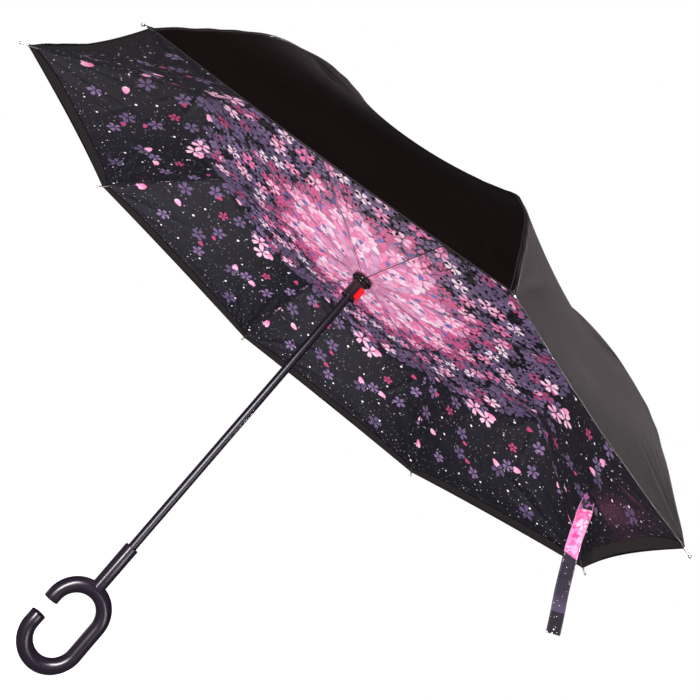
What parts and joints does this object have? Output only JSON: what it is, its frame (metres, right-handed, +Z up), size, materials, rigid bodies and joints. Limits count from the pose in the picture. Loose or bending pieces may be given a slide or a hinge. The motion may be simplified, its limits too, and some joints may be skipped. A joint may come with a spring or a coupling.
{
  "type": "inverted umbrella",
  "caption": "Inverted stick umbrella with a double canopy, folding rib linkages, a sliding runner with a push button, a closing strap and a C-shaped grip.",
  "frame": {"origin": "middle of the C-shaped grip's loop, on the shaft's axis", "axes": "+Z up along the shaft to the crown, -X towards the mouth of the grip"},
  "size_m": [1.0696, 1.0696, 0.7805],
  "materials": {
    "outer_cloth": "matte woven",
    "inner_cloth": "printed woven",
    "strap_cloth": "printed woven",
    "shaft_metal": "semi-gloss",
    "handle_plastic": "satin",
    "bright_steel": "bright",
    "black_plastic": "satin",
    "runner_plastic": "gloss",
    "red_plastic": "gloss",
    "frame_steel": "satin",
    "rod_fibreglass": "satin",
    "tip_metal": "bright"
  },
  "bodies": {
    "shaft_body": {"shaft": "shaft_metal", "handle": "handle_plastic", "handle_pin": "bright_steel", "top_notch": "black_plastic", "notch_wire": "bright_steel", "top_cap": "black_plastic", "outer_canopy": "outer_cloth"},
    "runner_body": {"runner": "runner_plastic", "runner_wire": "bright_steel", "inner_canopy": "inner_cloth", "button_spring": "bright_steel"},
    "button_body": {"release_button": "red_plastic"},
    "strap_body": {"strap": "strap_cloth"},
    "lower_arm_body_1": {"lower_arm_1": "frame_steel"},
    "upper_arm_body_1": {"upper_arm_1": "frame_steel"},
    "rib_body_1": {"knuckle_1": "frame_steel", "rib_rod_1": "rod_fibreglass", "rib_tip_1": "tip_metal"},
    "lower_arm_body_2": {"lower_arm_2": "frame_steel"},
    "upper_arm_body_2": {"upper_arm_2": "frame_steel"},
    "rib_body_2": {"knuckle_2": "frame_steel", "rib_rod_2": "rod_fibreglass", "rib_tip_2": "tip_metal"},
    "lower_arm_body_3": {"lower_arm_3": "frame_steel"},
    "upper_arm_body_3": {"upper_arm_3": "frame_steel"},
    "rib_body_3": {"knuckle_3": "frame_steel", "rib_rod_3": "rod_fibreglass", "rib_tip_3": "tip_metal"},
    "lower_arm_body_4": {"lower_arm_4": "frame_steel"},
    "upper_arm_body_4": {"upper_arm_4": "frame_steel"},
    "rib_body_4": {"knuckle_4": "frame_steel", "rib_rod_4": "rod_fibreglass", "rib_tip_4": "tip_metal"},
    "lower_arm_body_5": {"lower_arm_5": "frame_steel"},
    "upper_arm_body_5": {"upper_arm_5": "frame_steel"},
    "rib_body_5": {"knuckle_5": "frame_steel", "rib_rod_5": "rod_fibreglass", "rib_tip_5": "tip_metal"},
    "lower_arm_body_6": {"lower_arm_6": "frame_steel"},
    "upper_arm_body_6": {"upper_arm_6": "frame_steel"},
    "rib_body_6": {"knuckle_6": "frame_steel", "rib_rod_6": "rod_fibreglass", "rib_tip_6": "tip_metal"},
    "lower_arm_body_7": {"lower_arm_7": "frame_steel"},
    "upper_arm_body_7": {"upper_arm_7": "frame_steel"},
    "rib_body_7": {"knuckle_7": "frame_steel", "rib_rod_7": "rod_fibreglass", "rib_tip_7": "tip_metal"},
    "lower_arm_body_8": {"lower_arm_8": "frame_steel"},
    "upper_arm_body_8": {"upper_arm_8": "frame_steel"},
    "rib_body_8": {"knuckle_8": "frame_steel", "rib_rod_8": "rod_fibreglass", "rib_tip_8": "tip_metal"}
  },
  "joints": [
    {"name": "runner_slide", "type": "slide", "parent": "shaft_body", "child": "runner_body", "axis": [0, 0, -1], "range_m": [0, 0.427], "deforming": ["inner_canopy", "outer_canopy"]},
    {"name": "button_push", "type": "slide", "parent": "runner_body", "child": "button_body", "axis": [-0.7071, 0.7071, 0], "range_m": [0, 0.0012], "stiffness_N_per_m": 400, "springref_m": -0.0015, "deforming": ["button_spring"]},
    {"name": "lower_arm_hinge_1", "type": "hinge", "parent": "runner_body", "child": "lower_arm_body_1", "pos_m": [0.0145, 0, 0.5975], "axis": [0, -1, 0], "range_deg": [0, 67.5]},
    {"name": "upper_arm_hinge_1", "type": "hinge", "parent": "shaft_body", "child": "upper_arm_body_1", "pos_m": [0.013, 0, 0.69254], "axis": [0, 1, 0], "range_deg": [0, 73.6]},
    {"name": "rib_hinge_1", "type": "hinge", "parent": "upper_arm_body_1", "child": "rib_body_1", "pos_m": [0.30001, 0, 0.67053], "axis": [0, -1, 0], "range_deg": [0, 210.4]},
    {"name": "lower_arm_hinge_2", "type": "hinge", "parent": "runner_body", "child": "lower_arm_body_2", "pos_m": [0.01025, 0.01025, 0.5975], "axis": [0.7071, -0.7071, 0], "range_deg": [0, 67.5]},
    {"name": "upper_arm_hinge_2", "type": "hinge", "parent": "shaft_body", "child": "upper_arm_body_2", "pos_m": [0.00919, 0.00919, 0.69254], "axis": [-0.7071, 0.7071, 0], "range_deg": [0, 73.6]},
    {"name": "rib_hinge_2", "type": "hinge", "parent": "upper_arm_body_2", "child": "rib_body_2", "pos_m": [0.21214, 0.21214, 0.67053], "axis": [0.7071, -0.7071, 0], "range_deg": [0, 210.4]},
    {"name": "lower_arm_hinge_3", "type": "hinge", "parent": "runner_body", "child": "lower_arm_body_3", "pos_m": [0, 0.0145, 0.5975], "axis": [1, 0, 0], "range_deg": [0, 67.5]},
    {"name": "upper_arm_hinge_3", "type": "hinge", "parent": "shaft_body", "child": "upper_arm_body_3", "pos_m": [0, 0.013, 0.69254], "axis": [-1, 0, 0], "range_deg": [0, 73.6]},
    {"name": "rib_hinge_3", "type": "hinge", "parent": "upper_arm_body_3", "child": "rib_body_3", "pos_m": [0, 0.30001, 0.67053], "axis": [1, 0, 0], "range_deg": [0, 210.4]},
    {"name": "lower_arm_hinge_4", "type": "hinge", "parent": "runner_body", "child": "lower_arm_body_4", "pos_m": [-0.01025, 0.01025, 0.5975], "axis": [0.7071, 0.7071, 0], "range_deg": [0, 67.5]},
    {"name": "upper_arm_hinge_4", "type": "hinge", "parent": "shaft_body", "child": "upper_arm_body_4", "pos_m": [-0.00919, 0.00919, 0.69254], "axis": [-0.7071, -0.7071, 0], "range_deg": [0, 73.6]},
    {"name": "rib_hinge_4", "type": "hinge", "parent": "upper_arm_body_4", "child": "rib_body_4", "pos_m": [-0.21214, 0.21214, 0.67053], "axis": [0.7071, 0.7071, 0], "range_deg": [0, 210.4]},
    {"name": "lower_arm_hinge_5", "type": "hinge", "parent": "runner_body", "child": "lower_arm_body_5", "pos_m": [-0.0145, 0, 0.5975], "axis": [0, 1, 0], "range_deg": [0, 67.5]},
    {"name": "upper_arm_hinge_5", "type": "hinge", "parent": "shaft_body", "child": "upper_arm_body_5", "pos_m": [-0.013, 0, 0.69254], "axis": [0, -1, 0], "range_deg": [0, 73.6]},
    {"name": "rib_hinge_5", "type": "hinge", "parent": "upper_arm_body_5", "child": "rib_body_5", "pos_m": [-0.30001, 0, 0.67053], "axis": [0, 1, 0], "range_deg": [0, 210.4]},
    {"name": "lower_arm_hinge_6", "type": "hinge", "parent": "runner_body", "child": "lower_arm_body_6", "pos_m": [-0.01025, -0.01025, 0.5975], "axis": [-0.7071, 0.7071, 0], "range_deg": [0, 67.5]},
    {"name": "upper_arm_hinge_6", "type": "hinge", "parent": "shaft_body", "child": "upper_arm_body_6", "pos_m": [-0.00919, -0.00919, 0.69254], "axis": [0.7071, -0.7071, 0], "range_deg": [0, 73.6]},
    {"name": "rib_hinge_6", "type": "hinge", "parent": "upper_arm_body_6", "child": "rib_body_6", "pos_m": [-0.21214, -0.21214, 0.67053], "axis": [-0.7071, 0.7071, 0], "range_deg": [0, 210.4]},
    {"name": "lower_arm_hinge_7", "type": "hinge", "parent": "runner_body", "child": "lower_arm_body_7", "pos_m": [0, -0.0145, 0.5975], "axis": [-1, 0, 0], "range_deg": [0, 67.5]},
    {"name": "upper_arm_hinge_7", "type": "hinge", "parent": "shaft_body", "child": "upper_arm_body_7", "pos_m": [0, -0.013, 0.69254], "axis": [1, 0, 0], "range_deg": [0, 73.6]},
    {"name": "rib_hinge_7", "type": "hinge", "parent": "upper_arm_body_7", "child": "rib_body_7", "pos_m": [0, -0.30001, 0.67053], "axis": [-1, 0, 0], "range_deg": [0, 210.4]},
    {"name": "lower_arm_hinge_8", "type": "hinge", "parent": "runner_body", "child": "lower_arm_body_8", "pos_m": [0.01025, -0.01025, 0.5975], "axis": [-0.7071, -0.7071, 0], "range_deg": [0, 67.5]},
    {"name": "upper_arm_hinge_8", "type": "hinge", "parent": "shaft_body", "child": "upper_arm_body_8", "pos_m": [0.00919, -0.00919, 0.69254], "axis": [0.7071, 0.7071, 0], "range_deg": [0, 73.6]},
    {"name": "rib_hinge_8", "type": "hinge", "parent": "upper_arm_body_8", "child": "rib_body_8", "pos_m": [0.21214, -0.21214, 0.67053], "axis": [-0.7071, -0.7071, 0], "range_deg": [0, 210.4]},
    {"name": "strap_swing", "type": "hinge", "parent": "rib_body_1", "child": "strap_body", "pos_m": [0.38351, -0.14789, 0.54277], "axis": [0.5404, -0.7016, -0.4645], "range_deg": [0, 60]}
  ],
  "couplings": [
    {"joint": "lower_arm_hinge_1", "follows": "runner_slide", "rad_per_m": 2.745},
    {"joint": "upper_arm_hinge_1", "follows": "runner_slide", "rad_per_m": 2.9952},
    {"joint": "rib_hinge_1", "follows": "runner_slide", "rad_per_m": 8.5768},
    {"joint": "lower_arm_hinge_2", "follows": "runner_slide", "rad_per_m": 2.745},
    {"joint": "upper_arm_hinge_2", "follows": "runner_slide", "rad_per_m": 2.9952},
    {"joint": "rib_hinge_2", "follows": "runner_slide", "rad_per_m": 8.5768},
    {"joint": "lower_arm_hinge_3", "follows": "runner_slide", "rad_per_m": 2.745},
    {"joint": "upper_arm_hinge_3", "follows": "runner_slide", "rad_per_m": 2.9952},
    {"joint": "rib_hinge_3", "follows": "runner_slide", "rad_per_m": 8.5768},
    {"joint": "lower_arm_hinge_4", "follows": "runner_slide", "rad_per_m": 2.745},
    {"joint": "upper_arm_hinge_4", "follows": "runner_slide", "rad_per_m": 2.9952},
    {"joint": "rib_hinge_4", "follows": "runner_slide", "rad_per_m": 8.5768},
    {"joint": "lower_arm_hinge_5", "follows": "runner_slide", "rad_per_m": 2.745},
    {"joint": "upper_arm_hinge_5", "follows": "runner_slide", "rad_per_m": 2.9952},
    {"joint": "rib_hinge_5", "follows": "runner_slide", "rad_per_m": 8.5768},
    {"joint": "lower_arm_hinge_6", "follows": "runner_slide", "rad_per_m": 2.745},
    {"joint": "upper_arm_hinge_6", "follows": "runner_slide", "rad_per_m": 2.9952},
    {"joint": "rib_hinge_6", "follows": "runner_slide", "rad_per_m": 8.5768},
    {"joint": "lower_arm_hinge_7", "follows": "runner_slide", "rad_per_m": 2.745},
    {"joint": "upper_arm_hinge_7", "follows": "runner_slide", "rad_per_m": 2.9952},
    {"joint": "rib_hinge_7", "follows": "runner_slide", "rad_per_m": 8.5768},
    {"joint": "lower_arm_hinge_8", "follows": "runner_slide", "rad_per_m": 2.745},
    {"joint": "upper_arm_hinge_8", "follows": "runner_slide", "rad_per_m": 2.9952},
    {"joint": "rib_hinge_8", "follows": "runner_slide", "rad_per_m": 8.5768}
  ]
}
